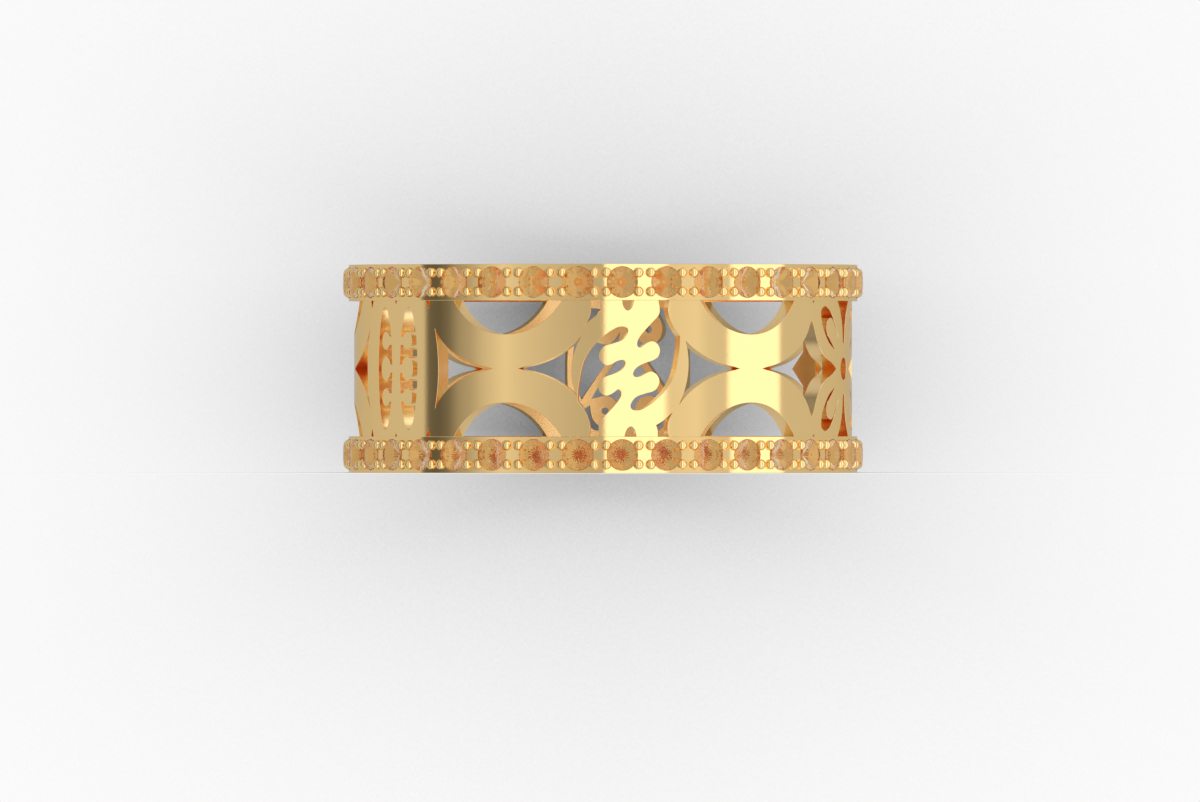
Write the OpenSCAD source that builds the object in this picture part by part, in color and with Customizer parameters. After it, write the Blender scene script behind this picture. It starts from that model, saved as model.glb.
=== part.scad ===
// Wide openwork gold ring with a row of small cut stones along each rail.
// Modelled in millimetres, lying on its side with the finger axis along +Z.

/* [Sizes] */
// inner radius of the finger opening
inner_r = 9.92; // [8:0.01:12]
// outer radius of the openwork band
band_r = 10.61; // [9:0.01:13]
// outer radius of the two stone rails
rail_r = 10.84; // [9:0.01:13]
// height of the ring along the finger
ring_h = 8.85; // [5:0.05:14]
// height of one rail
rail_h = 1.545; // [1:0.005:3]

/* [Stones] */
// stones in one rail
stone_count = 36; // [20:1:48]
// angle of the first stone
stone_start = 4.3; // [0:0.1:10]
// girdle radius of one stone
stone_r = 0.62; // [0.4:0.01:1]
// radius of the flat table
table_r = 0.335; // [0.2:0.005:0.6]
// height of the crown
crown_h = 0.2; // [0.1:0.01:0.4]
// depth of the pavilion
pavilion_h = 0.54; // [0.3:0.01:0.8]
// girdle plane above the rail surface
girdle_up = 0.05; // [0:0.01:0.2]
// clearance between stone and seat
seat_gap = 0.02; // [0.02:0.005:0.1]

/* [Beads] */
// radius of one holding bead
bead_r = 0.17; // [0.15:0.001:0.4]
// bead top above the rail surface
bead_up = 0.21; // [0.1:0.01:0.4]
// bead distance from the stone centre around the ring, in degrees
bead_turn = 3.7; // [3:0.01:4.5]
// bead distance from the stone centre along the finger
bead_off = 0.42; // [0.3:0.001:0.6]

/* [Crescents] */
// half width of a crescent's outer curve
horn_a = 3.8; // [3:0.01:4.5]
// half height of a crescent's outer curve
horn_b = 2.64; // [2:0.01:3]
// radius of the round bay inside a crescent
bay_r = 2.89; // [2:0.01:4]
// lowest point of the bay above the middle line
bay_v = 1.44; // [1:0.01:2]
// where the point between two crescents starts
slit_u = 0.85; // [0.7:0.01:1.2]
// how near to the middle the point between two crescents comes
tip_u = 0.6; // [0.4:0.01:0.65]

/* [Hidden] */
$fn = 96;
mid_z = ring_h / 2;
half_gap = mid_z - rail_h;
over = 0.15;
rim_v = half_gap + over;
band_in = inner_r + 0.03;
cut_in = inner_r - 0.5;
cut_out = band_r + 0.75;

// crescent pairs, by angle around the ring
HORNS = [-88, -23, 36.3, 140.6, 207.6];

// side gaps: angle of the crescent pair, side, upper and lower tip, rim distance at mid height,
// and how far the corner of the next panel stands into the gap
SIDES = [
    [-88, 1, 1.68, 1.68, 3.22, 0],
    [-23, -1, 1.69, 1.67, 3.35, 0],
    [-23, 1, 1.4, 1.15, 2.92, 0],
    [36.3, -1, 1.17, 1.55, 3.05, 0],
    [140.6, -1, 1.95, 1.95, 3.7, 0.92],
    [140.6, -1, 1.95, 1.95, 3.7, 0.92],
    [140.6, 1, 1.78, 1.78, 3.46, 0],
    [207.6, -1, 1.78, 1.78, 3.46, 0],
    [207.6, 1, 1.68, 1.68, 3.22, 0],
    [272, -1, 1.68, 1.68, 3.22, 0]
];
corner_v = 0.75;

// panel centres, by angle around the ring
COMBS = [-55.9, 106, 239.8];
symbol_at = 6;
flower_at = 74.6;
curls_at = 174.1;

// outlines: u around the ring, v up from the middle line, 1 where the line has a corner
SYMBOL_MAIN = [
    [-0.05, 1.58, 0], [-0.1, 1.71, 0], [-0.24, 1.77, 0], [-0.48, 1.75, 0], [-0.72, 1.63, 0],
    [-1, 1.44, 0], [-1.3, 1.18, 0], [-1.6, 0.86, 0], [-1.83, 0.5, 0], [-1.98, 0.12, 0],
    [-2.08, -0.3, 0], [-2.16, -0.75, 0], [-2.19, -1.1, 0], [-2.19, -1.38, 1],
    [-1.98, -1.64, 0], [-1.82, -1.92, 0], [-1.7, -2.25, 0], [-1.66, -2.55, 0], [-1.74, -3.03, 1],
    [-1.22, -3.03, 1], [-1.3, -2.6, 0], [-1.29, -2.33, 0], [-1.17, -2.14, 0], [-0.9, -1.86, 0],
    [-0.66, -1.6, 0], [-0.47, -1.37, 0], [-0.36, -1.17, 0], [-0.34, -1, 0], [-0.4, -0.9, 0],
    [-0.5, -0.89, 0], [-0.61, -0.98, 0], [-0.76, -1.08, 0], [-0.96, -1.15, 0], [-1.16, -1.08, 0],
    [-1.29, -0.9, 0], [-1.31, -0.68, 0], [-1.22, -0.48, 0], [-1.02, -0.35, 0], [-0.7, -0.24, 0],
    [-0.42, -0.11, 0], [-0.24, 0.04, 0], [-0.16, 0.22, 0], [-0.22, 0.345, 0], [-0.36, 0.355, 0],
    [-0.52, 0.31, 0], [-0.74, 0.19, 0], [-0.94, 0.13, 0], [-1.16, 0.24, 0], [-1.28, 0.44, 0],
    [-1.28, 0.64, 0], [-1.16, 0.86, 0], [-0.98, 0.98, 0], [-0.68, 1.06, 0], [-0.32, 1.19, 0],
    [-0.13, 1.38, 0]
];
SYMBOL_NOTCH = [
    [-0.3, 3.03, 1], [-0.28, 2.72, 0], [-0.19, 2.53, 0], [-0.07, 2.45, 0], [0.06, 2.52, 0],
    [0.16, 2.7, 0], [0.24, 3.03, 1]
];
SYMBOL_CORNER = [
    [-1.75, 3.03, 1], [-1.65, 2.7, 0], [-1.67, 2.25, 0], [-1.86, 1.86, 1], [-1.66, 2.04, 0],
    [-1.44, 2.22, 0], [-1.15, 2.4, 1], [-1.22, 2.64, 0], [-1.21, 3.03, 1]
];
PETAL_EDGE = [
    [-3.28, 2.03, 1], [-2.91, 1.2, 0], [-2.45, 0.66, 0], [-2.08, 0.43, 0], [-1.53, 0.25, 0],
    [-1.01, 0, 1]
];
PETAL_SLOT = [
    [-2.53, 2.5, 0], [-2.19, 2.65, 0], [-1.76, 2.48, 0], [-1.44, 2.21, 0], [-1.07, 1.78, 0],
    [-0.75, 1.34, 1], [-1.17, 1.81, 0], [-1.36, 2.04, 0], [-1.6, 2.16, 0], [-1.86, 2.11, 0],
    [-2.03, 1.94, 0], [-2.08, 1.72, 0], [-2, 1.46, 0], [-1.76, 1.26, 0], [-1.54, 1.09, 0],
    [-1.17, 0.78, 1], [-1.76, 1.07, 0], [-2.08, 1.36, 0], [-2.34, 1.68, 0], [-2.48, 1.94, 0],
    [-2.56, 2.28, 0]
];
SPIKE = [
    [-0.98, 3.03, 1], [-0.52, 2.47, 0], [-0.255, 1.96, 0], [-0.17, 1.6, 0], [-0.1, 1.09, 1],
    [0.1, 1.09, 1], [0.17, 1.6, 0], [0.255, 1.96, 0], [0.52, 2.47, 0], [0.98, 3.03, 1]
];
FLOWER_SIDE = [
    [1.01, 0, 1], [1.53, 0.25, 0], [2.08, 0.43, 0], [2.45, 0.66, 0], [2.91, 1.2, 0],
    [3.12, 1.62, 1], [3.03, 0.8, 0], [3, 0, 0], [3.03, -0.8, 0],
    [3.12, -1.62, 1], [2.91, -1.2, 0], [2.45, -0.66, 0], [2.08, -0.43, 0], [1.53, -0.25, 0]
];
RIM_NICK = [
    [1.94, 3.03, 1], [2.06, 2.78, 0], [2.2, 2.52, 1], [2.24, 2.75, 0], [2.3, 3.03, 1]
];
MID_NICK = [
    [-0.12, 3.03, 1], [0, 2.72, 1], [0.12, 3.03, 1]
];
FAR_NICK = [
    [-3.36, 3.03, 1], [-3.2, 2.78, 1], [-3.04, 3.03, 1]
];

// discs on the comb spine: height, half width, half height
DISCS = [
    [1.18, 0.33, 0.38],
    [0, 0.39, 0.525],
    [-1.22, 0.33, 0.38]
];
disc_u = 0.815;
neck_h = 0.18;
slot_u = 0.889;
slot_a = 0.593;
slot_b = 2.6;

// curl panel: four round curls at the corners and two legs that spread downwards
curl_u = 1;
curl_top = 1.7;
curl_low = -1.8;
curl_hole = 0.15;
BESIDE_LEG = [
    [0.33, 1.6, 1], [0.43, 1.4, 0], [0.7, 1.13, 0], [1, 1.05, 0], [1.33, 1.14, 0], [1.56, 1.37, 0],
    [1.65, 1.7, 0], [1.57, 2.05, 0], [1.38, 2.36, 0], [1.2, 2.58, 1], [1.62, 2.62, 1], [1.95, 2.28, 0],
    [2.22, 1.8, 0], [2.4, 1.2, 0], [2.46, 0.5, 0], [2.43, -0.2, 0], [2.3, -0.8, 0], [2.08, -1.32, 1],
    [1.57, -0.61, 0], [1.05, 0.11, 0], [0.7, 0.6, 0], [0.42, 1, 0], [0.36, 1.3, 0]
];
BETWEEN_LEGS = [
    [0, 0.98, 1], [0.67, 0.11, 0], [1.2, -0.62, 0], [1.62, -1.28, 1], [1.34, -1.22, 0], [1, -1.15, 0],
    [0.66, -1.25, 0], [0.43, -1.5, 0], [0.36, -1.8, 0], [0.42, -2.1, 0], [0.4, -2.35, 0], [0, -2.5, 0],
    [-0.4, -2.35, 0], [-0.42, -2.1, 0], [-0.36, -1.8, 0], [-0.43, -1.5, 0], [-0.66, -1.25, 0],
    [-1, -1.15, 0], [-1.34, -1.22, 0], [-1.62, -1.28, 1], [-1.2, -0.62, 0], [-0.67, 0.11, 0]
];
BELOW_LEG = [
    [1.68, -1.56, 1], [1.65, -1.9, 0], [1.52, -2.22, 0], [1.26, -2.46, 0], [0.98, -2.58, 1],
    [1.45, -2.64, 0], [1.78, -2.35, 0], [1.95, -1.98, 0], [1.94, -1.72, 0]
];

function point(p) = [p[0], p[1]];
function spline(a, b, c, d, t) =
    0.5 * ((2 * b) + (c - a) * t + (2 * a - 5 * b + 4 * c - d) * t * t
    + (3 * b - a - 3 * c + d) * t * t * t);
function smooth(rows, steps) = [
    for (i = [0 : len(rows) - 1])
    let (n = len(rows), q = rows[(i + 1) % n])
    let (b = point(rows[i]), c = point(q))
    let (a = rows[i][2] == 1 ? b : point(rows[(i + n - 1) % n]))
    let (d = q[2] == 1 ? c : point(rows[(i + 2) % n]))
    let (s = rows[i][2] == 1 && q[2] == 1 ? 1 : steps)
    for (k = [0 : s - 1]) spline(a, b, c, d, k / s)
];
function flip_u(path) = [for (p = path) [-p[0], p[1]]];
function flip_v(path) = [for (p = path) [p[0], -p[1]]];
function turn(path) = [for (p = path) [-p[0], -p[1]]];
function place(path, at) = [for (p = path) [p[0] + at * band_r * PI / 180, p[1]]];
function back(path) = [for (i = [len(path) - 1 : -1 : 0]) path[i]];
function area(path) = let (n = len(path)) [
    for (i = 0, s = 0; i <= n; s = s + (i < n ? path[i][0] * path[(i + 1) % n][1]
    - path[(i + 1) % n][0] * path[i][1] : 0), i = i + 1) if (i == n) s
][0];
function ccw(path) = area(path) > 0 ? path : back(path);
function arc(u, v, a, b, t0, t1, n) = [
    for (i = [0 : n]) let (t = t0 + (t1 - t0) * i / n) [u + a * cos(t), v + b * sin(t)]
];

// outer curve of the upper crescent from the slit to height v, on the side s
function horn(s, v, n) =
    let (t0 = -acos(slit_u / horn_a), t1 = asin((v - horn_b) / horn_b))
    [for (i = [0 : n]) let (t = t0 + (t1 - t0) * i / n) [s * horn_a * cos(t), horn_b + horn_b * sin(t)]];
function bay() =
    let (vc = bay_v + bay_r, t = asin((rim_v - vc) / bay_r))
    arc(0, vc, bay_r, bay_r, 180 - t, 360 + t, 21);
function rim(p, q, u, n) = [
    for (i = [1 : n - 1])
    let (t = i / n, m = 2 * u - (p[0] + q[0]) / 2)
    [(1 - t) * (1 - t) * p[0] + 2 * t * (1 - t) * m + t * t * q[0],
    (1 - t) * p[1] + t * q[1]]
];
function side(row) =
    let (s = row[1], a = horn(s, row[2], 8), b = flip_v(horn(s, row[3], 8)))
    let (corner = [[s * row[4], corner_v], [s * (row[4] - row[5]), 0], [s * row[4], -corner_v]])
    concat([[s * tip_u, 0]], a, row[5] > 0 ? corner : rim(a[8], b[8], s * row[4], 6), back(b));
function star() =
    let (far = (36.3 - flower_at) * band_r * PI / 180, a = place(horn(1, 1.98, 9), 36.3 - flower_at))
    let (e = smooth(PETAL_EDGE, 2), n = len(e))
    let (edge = [for (i = [0 : n - 2]) if (norm(e[i] - a[9]) > 0.03) e[i]])
    concat([[far + tip_u, 0]], a, edge, [[-1.01, 0]], back(flip_v(edge)), back(flip_v(a)));
function disc(d) =
    let (t = 180 - asin(neck_h / d[2]))
    arc(disc_u, d[0], d[1], d[2], t, -t, 12);
function slot_side(v) = slot_u - slot_a * sqrt(1 - v * v / slot_b / slot_b);
function comb() = concat(
    arc(slot_u, 0, slot_a, slot_b, -90, 90, 16),
    [for (v = [2.5, 2.2, 1.8]) [slot_side(v), v]],
    [for (d = DISCS) each concat(
        [[slot_side(d[0] + neck_h), d[0] + neck_h]], disc(d),
        [[slot_side(d[0] - neck_h), d[0] - neck_h]])],
    [for (v = [-1.8, -2.2, -2.5]) [slot_side(v), v]]
);

// a cutter that follows the band, drawn from an outline in u and v
module gap(path) {
    p = ccw(path);
    n = len(p);
    low = [for (q = p) let (t = q[0] / band_r * 180 / PI)
        [cut_in * sin(t), -cut_in * cos(t), mid_z + q[1]]];
    top = [for (q = p) let (t = q[0] / band_r * 180 / PI)
        [cut_out * sin(t), -cut_out * cos(t), mid_z + q[1]]];
    polyhedron(
        points = concat(low, top),
        faces = concat(
            [[for (i = [0 : n - 1]) i]],
            [[for (i = [n - 1 : -1 : 0]) n + i]],
            [for (i = [0 : n - 1]) [i, n + i, n + (i + 1) % n, (i + 1) % n]]
        )
    );
}

module sector(t0, t1, z0, z1) {
    rotate([0, 0, t0 - 90])
        rotate_extrude(angle = t1 - t0, $fn = 180)
            polygon([[band_in, z0], [band_r, z0], [band_r, z1], [band_in, z1]]);
}

// one rail: a flat under each stone, round inside
module rail(z0) {
    step = 360 / stone_count;
    flat = rail_r / cos(step / 2) * 0.998;
    difference() {
        translate([0, 0, z0])
            linear_extrude(rail_h)
                polygon([
                    for (i = [0 : stone_count - 1])
                    let (t = stone_start + (i + 0.5) * step)
                    [flat * sin(t), -flat * cos(t)]
                ]);
        translate([0, 0, z0 - 1])
            cylinder(r = inner_r, h = rail_h + 2, $fn = 180);
        for (i = [0 : stone_count - 1])
            stand(stone_start + i * step, z0 + rail_h / 2)
                seat();
    }
}

// puts its children on a rail, with their own +Z pointing away from the finger
module stand(at, z) {
    rotate([0, 0, at])
        translate([0, -rail_r, z])
            rotate([90, 0, 0])
                children();
}

module bead() {
    translate([0, 0, -0.1])
        cylinder(r = bead_r, h = bead_up + 0.1, $fn = 20);
}

module seat() {
    g = seat_gap;
    rotate_extrude($fn = 32)
        polygon([
            [0, girdle_up - pavilion_h - 1.6 * g], [stone_r + g, girdle_up - g],
            [stone_r + g, girdle_up + g], [0, girdle_up + g]
        ]);
}

// one cut stone: table, eight kites and sixteen halves above, sixteen facets below
module stone() {
    g = [for (i = [0 : 15]) let (t = i * 22.5) [stone_r * cos(t), stone_r * sin(t), girdle_up]];
    h = [for (i = [0 : 7]) let (t = i * 45) [table_r * cos(t), table_r * sin(t), girdle_up + crown_h]];
    polyhedron(
        points = concat(g, h, [[0, 0, girdle_up - pavilion_h]]),
        faces = concat(
            [[for (i = [7 : -1 : 0]) 16 + i]],
            [for (i = [0 : 15]) [24, (i + 1) % 16, i]],
            [for (i = [0 : 7]) each [
                [16 + i, 2 * i, (2 * i + 1) % 16],
                [16 + i, (2 * i + 1) % 16, 16 + (i + 1) % 8],
                [16 + (i + 1) % 8, (2 * i + 1) % 16, (2 * i + 2) % 16]
            ]]
        )
    );
}

module bays(at) {
    gap(place(bay(), at));
    gap(place(flip_v(bay()), at));
}

module comb_gaps(at) {
    gap(place(comb(), at));
    gap(place(flip_u(comb()), at));
    for (s = [0, 1]) {
        nick = smooth(RIM_NICK, 1);
        mark = s == 0 ? smooth(MID_NICK, 1) : flip_v(smooth(MID_NICK, 1));
        gap(place(mark, at));
        gap(place(s == 0 ? nick : flip_v(nick), at));
        gap(place(s == 0 ? flip_u(nick) : turn(nick), at));
    }
}

module symbol_gaps(at) {
    for (rows = [SYMBOL_MAIN, SYMBOL_NOTCH, SYMBOL_CORNER]) {
        path = smooth(rows, 1);
        gap(place(path, at));
        gap(place(turn(path), at));
    }
}

module flower_gaps(at) {
    slot = smooth(PETAL_SLOT, 1);
    spike = smooth(SPIKE, 1);
    nick = smooth(FAR_NICK, 1);
    gap(place(star(), at));
    gap(place(smooth(FLOWER_SIDE, 2), at));
    gap(place(arc(0, 0, 0.47, 0.47, 0, 337.5, 15), at));
    gap(place(spike, at));
    gap(place(flip_v(spike), at));
    gap(place(nick, at));
    gap(place(flip_v(nick), at));
    gap(place(slot, at));
    gap(place(flip_u(slot), at));
    gap(place(flip_v(slot), at));
    gap(place(turn(slot), at));
}

module curl_gaps(at) {
    top_eye = arc(curl_u, curl_top, curl_hole, curl_hole, 0, 330, 11);
    low_eye = arc(curl_u, curl_low, curl_hole, curl_hole, 0, 330, 11);
    for (path = [top_eye, low_eye, smooth(BESIDE_LEG, 1), smooth(BELOW_LEG, 1)]) {
        gap(place(path, at));
        gap(place(flip_u(path), at));
    }
    gap(place(smooth(BETWEEN_LEGS, 1), at));
}

// the band between two crescent pairs, with the panel or panels it holds
module run(i) {
    a = HORNS[i];
    b = HORNS[(i + 1) % 5] + (i == 4 ? 360 : 0);
    difference() {
        sector(a, b, rail_h - 0.06, ring_h - rail_h + 0.06);
        bays(a);
        bays(b);
        gap(place(side(SIDES[2 * i + 1]), b));
        if (i != 2)
            gap(place(side(SIDES[2 * i]), a));
        if (i == 0)
            comb_gaps(COMBS[0]);
        if (i == 1)
            symbol_gaps(symbol_at);
        if (i == 2) {
            flower_gaps(flower_at);
            comb_gaps(COMBS[1]);
        }
        if (i == 3)
            curl_gaps(curls_at);
        if (i == 4)
            comb_gaps(COMBS[2]);
    }
}

module band() {
    for (i = [0 : 4])
        run(i);
}

module beads(z) {
    for (i = [0 : stone_count - 1])
        for (s = [-1, 1])
            for (t = [-1, 1])
                stand(stone_start + i * 360 / stone_count + s * bead_turn, z + t * bead_off)
                    bead();
}

module ring_band() {
    color([0.80, 0.68, 0.47])
        union() {
            rail(0);
            rail(ring_h - rail_h);
            band();
            beads(rail_h / 2);
            beads(ring_h - rail_h / 2);
        }
}

module stones(z) {
    for (i = [0 : stone_count - 1])
        stand(stone_start + i * 360 / stone_count, z)
            stone();
}

module upper_stones() {
    color([0.80, 0.60, 0.36])
        stones(ring_h - rail_h / 2);
}

module lower_stones() {
    color([0.78, 0.56, 0.36])
        stones(rail_h / 2);
}

ring_band();
upper_stones();
lower_stones();
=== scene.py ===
# %% [markdown]
# # A wide openwork gold ring
# The ring is one gold casting: a pierced band between two rails, each set with a row of small stones.
# This notebook makes it the way a goldsmith makes a strip ring: every piece is first made flat, as a strip,
# and is then rolled up round the finger. Flat work is easy to draw and to measure, and the roll keeps every
# cut square to the surface, which is how the walls of the real gaps run.
# Lengths in the drawing are millimetres. The last step of each piece turns them into metres.

# %% Load the frame
import math

import bmesh
import bpy
from mathutils import Matrix, Vector


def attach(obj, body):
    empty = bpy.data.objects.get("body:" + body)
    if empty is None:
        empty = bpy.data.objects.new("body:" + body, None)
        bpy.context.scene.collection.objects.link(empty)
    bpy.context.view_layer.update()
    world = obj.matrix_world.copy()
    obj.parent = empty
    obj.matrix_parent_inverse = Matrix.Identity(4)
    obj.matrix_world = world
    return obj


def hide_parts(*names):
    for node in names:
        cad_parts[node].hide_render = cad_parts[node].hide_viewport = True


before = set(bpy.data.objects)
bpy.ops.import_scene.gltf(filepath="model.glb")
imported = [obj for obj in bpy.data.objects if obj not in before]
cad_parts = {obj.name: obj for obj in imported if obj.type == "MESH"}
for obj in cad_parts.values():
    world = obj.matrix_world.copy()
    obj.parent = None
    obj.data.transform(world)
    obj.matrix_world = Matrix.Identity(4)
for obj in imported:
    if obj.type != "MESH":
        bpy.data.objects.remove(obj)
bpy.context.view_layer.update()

print("solids:", sorted(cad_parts))

# %% Driving sizes, in millimetres
INNER_R = 9.92
BAND_R = 10.61
RAIL_R = 10.84
RING_H = 8.85
RAIL_H = 1.545
# the inside of the band stands back from the inside of the rails
BAND_IN = INNER_R + 0.03
STONE_COUNT = 36
STONE_START = 4.3
STONE_R = 0.65
MM = 0.001
MID = RING_H / 2
HALF_GAP = MID - RAIL_H
DEG = BAND_R * math.pi / 180
GIRTH = 360 * DEG
# angle round the ring where the strip's two ends meet, from the camera side
SEAM = -88.0
print("gap between the rails:", round(2 * HALF_GAP, 2), "mm")

# %% [markdown]
# ## Outlines of the pierced gaps
# The band is drawn unrolled: u runs round the ring and v runs up from the middle line. Round stretches are
# arcs. The free curves of the panels are smooth lines that run through every one of a few points, as even
# as a saw cut that was filed clean. A point marked 1 is a corner.

# %% Curves through named points


def smooth(rows, steps):
    """A closed curve through rows of u, v and a corner mark."""
    path = []
    count = len(rows)
    for i, (u, v, corner) in enumerate(rows):
        nxt = rows[(i + 1) % count]
        b = Vector((u, v))
        c = Vector(nxt[:2])
        a = b if corner else Vector(rows[i - 1][:2])
        d = c if nxt[2] else Vector(rows[(i + 2) % count][:2])
        parts = 1 if corner and nxt[2] else steps
        for k in range(parts):
            t = k / parts
            point = 2 * b + (c - a) * t + (2 * a - 5 * b + 4 * c - d) * t * t
            point += (3 * b - a - 3 * c + d) * t ** 3
            path.append(tuple(point / 2))
    return path


def arc(u, v, a, b, start, end, parts):
    """Points on an ellipse, with angles in degrees."""
    turns = [math.radians(start + (end - start) * i / parts) for i in range(parts + 1)]
    return [(u + a * math.cos(t), v + b * math.sin(t)) for t in turns]


def flip_u(path):
    return [(-u, v) for u, v in path]


def flip_v(path):
    return [(u, -v) for u, v in path]


def turned(path):
    return [(-u, -v) for u, v in path]


def placed(path, at):
    """Moves an outline to its angle round the ring."""
    return [(u + (at - SEAM) * DEG, v) for u, v in path]


print("a quarter turn in ten steps:", len(arc(0, 0, 1, 1, 0, 90, 10)), "points")

# %% Named outlines
SYMBOL_MAIN = [
    (-0.05, 1.58, 0), (-0.1, 1.71, 0), (-0.24, 1.77, 0), (-0.48, 1.75, 0), (-0.72, 1.63, 0),
    (-1, 1.44, 0), (-1.3, 1.18, 0), (-1.6, 0.86, 0), (-1.83, 0.5, 0), (-1.98, 0.12, 0),
    (-2.08, -0.3, 0), (-2.16, -0.75, 0), (-2.19, -1.1, 0), (-2.19, -1.38, 1),
    (-1.98, -1.64, 0), (-1.82, -1.92, 0), (-1.7, -2.25, 0), (-1.66, -2.55, 0), (-1.74, -3.03, 1),
    (-1.22, -3.03, 1), (-1.3, -2.6, 0), (-1.29, -2.33, 0), (-1.17, -2.14, 0), (-0.9, -1.86, 0),
    (-0.66, -1.6, 0), (-0.47, -1.37, 0), (-0.36, -1.17, 0), (-0.34, -1, 0), (-0.4, -0.9, 0),
    (-0.5, -0.89, 0), (-0.61, -0.98, 0), (-0.76, -1.08, 0), (-0.96, -1.15, 0), (-1.16, -1.08, 0),
    (-1.29, -0.9, 0), (-1.31, -0.68, 0), (-1.22, -0.48, 0), (-1.02, -0.35, 0), (-0.7, -0.24, 0),
    (-0.42, -0.11, 0), (-0.24, 0.04, 0), (-0.16, 0.22, 0), (-0.22, 0.345, 0), (-0.36, 0.355, 0),
    (-0.52, 0.31, 0), (-0.74, 0.19, 0), (-0.94, 0.13, 0), (-1.16, 0.24, 0), (-1.28, 0.44, 0),
    (-1.28, 0.64, 0), (-1.16, 0.86, 0), (-0.98, 0.98, 0), (-0.68, 1.06, 0), (-0.32, 1.19, 0),
    (-0.13, 1.38, 0),
]
SYMBOL_NOTCH = [
    (-0.3, 3.03, 1), (-0.28, 2.72, 0), (-0.19, 2.53, 0), (-0.07, 2.45, 0), (0.06, 2.52, 0),
    (0.16, 2.7, 0), (0.24, 3.03, 1),
]
SYMBOL_CORNER = [
    (-1.75, 3.03, 1), (-1.65, 2.7, 0), (-1.67, 2.25, 0), (-1.86, 1.86, 1), (-1.66, 2.04, 0),
    (-1.44, 2.22, 0), (-1.15, 2.4, 1), (-1.22, 2.64, 0), (-1.21, 3.03, 1),
]
PETAL_EDGE = [
    (-3.28, 2.03, 1), (-2.91, 1.2, 0), (-2.45, 0.66, 0), (-2.08, 0.43, 0), (-1.53, 0.25, 0),
    (-1.01, 0, 1),
]
PETAL_SLOT = [
    (-2.53, 2.5, 0), (-2.19, 2.65, 0), (-1.76, 2.48, 0), (-1.44, 2.21, 0), (-1.07, 1.78, 0),
    (-0.75, 1.34, 1), (-1.17, 1.81, 0), (-1.36, 2.04, 0), (-1.6, 2.16, 0), (-1.86, 2.11, 0),
    (-2.03, 1.94, 0), (-2.08, 1.72, 0), (-2, 1.46, 0), (-1.76, 1.26, 0), (-1.54, 1.09, 0),
    (-1.17, 0.78, 1), (-1.76, 1.07, 0), (-2.08, 1.36, 0), (-2.34, 1.68, 0), (-2.48, 1.94, 0),
    (-2.56, 2.28, 0),
]
SPIKE = [
    (-0.98, 3.03, 1), (-0.52, 2.47, 0), (-0.255, 1.96, 0), (-0.17, 1.6, 0), (-0.1, 1.09, 1),
    (0.1, 1.09, 1), (0.17, 1.6, 0), (0.255, 1.96, 0), (0.52, 2.47, 0), (0.98, 3.03, 1),
]
FLOWER_SIDE = [
    (1.01, 0, 1), (1.53, 0.25, 0), (2.08, 0.43, 0), (2.45, 0.66, 0), (2.91, 1.2, 0),
    (3.12, 1.62, 1), (3.03, 0.8, 0), (3, 0, 0), (3.03, -0.8, 0),
    (3.12, -1.62, 1), (2.91, -1.2, 0), (2.45, -0.66, 0), (2.08, -0.43, 0), (1.53, -0.25, 0),
]
RIM_NICK = [(1.94, 3.03, 1), (2.06, 2.78, 0), (2.2, 2.52, 1), (2.24, 2.75, 0), (2.3, 3.03, 1)]
MID_NICK = [(-0.12, 3.03, 1), (0, 2.72, 1), (0.12, 3.03, 1)]
FAR_NICK = [(-3.36, 3.03, 1), (-3.2, 2.78, 1), (-3.04, 3.03, 1)]
BESIDE_LEG = [
    (0.33, 1.6, 1), (0.43, 1.4, 0), (0.7, 1.13, 0), (1, 1.05, 0), (1.33, 1.14, 0), (1.56, 1.37, 0),
    (1.65, 1.7, 0), (1.57, 2.05, 0), (1.38, 2.36, 0), (1.2, 2.58, 1), (1.62, 2.62, 1), (1.95, 2.28, 0),
    (2.22, 1.8, 0), (2.4, 1.2, 0), (2.46, 0.5, 0), (2.43, -0.2, 0), (2.3, -0.8, 0), (2.08, -1.32, 1),
    (1.57, -0.61, 0), (1.05, 0.11, 0), (0.7, 0.6, 0), (0.42, 1, 0), (0.36, 1.3, 0),
]
HALF_BETWEEN_LEGS = [
    (0, 0.98, 1), (0.67, 0.11, 0), (1.2, -0.62, 0), (1.62, -1.28, 1), (1.34, -1.22, 0), (1, -1.15, 0),
    (0.66, -1.25, 0), (0.43, -1.5, 0), (0.36, -1.8, 0), (0.42, -2.1, 0), (0.4, -2.35, 0), (0, -2.5, 0),
]
BELOW_LEG = [
    (1.68, -1.56, 1), (1.65, -1.9, 0), (1.52, -2.22, 0), (1.26, -2.46, 0), (0.98, -2.58, 1),
    (1.45, -2.64, 0), (1.78, -2.35, 0), (1.95, -1.98, 0), (1.94, -1.72, 0),
]
print("points on one side of the symbol:", len(SYMBOL_MAIN))

# %% [markdown]
# ## Crescent pairs
# Between two panels stand two plain crescents, back to back, that touch at the middle line. They are not
# shapes of their own: they are what is left between the round bays that open to the rails and the
# three-cornered gaps beside them. They could be built as bent bars, but the real ones are sawn out of the
# same strip as the rest, so only the gaps are drawn, with arcs whose centres and radii are named.

# %% Crescents: their outer curves leave side gaps, their bays open to the rails
HORN_A = 3.8
HORN_B = 2.64
BAY_R = 2.89
BAY_V = 1.44
SLIT_U = 0.85
TIP_U = 0.6
CORNER_V = 0.75
RIM_V = HALF_GAP + 0.15


def bay():
    v = BAY_V + BAY_R
    t = math.degrees(math.asin((RIM_V - v) / BAY_R))
    return arc(0, v, BAY_R, BAY_R, 180 - t, 360 + t, 48)


def horn(side, v, parts):
    """The outer curve of the upper crescent from the slit up to height v."""
    start = -math.acos(SLIT_U / HORN_A)
    end = math.asin((v - HORN_B) / HORN_B)
    turns = [start + (end - start) * i / parts for i in range(parts + 1)]
    return [(side * HORN_A * math.cos(t), HORN_B + HORN_B * math.sin(t)) for t in turns]


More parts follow.
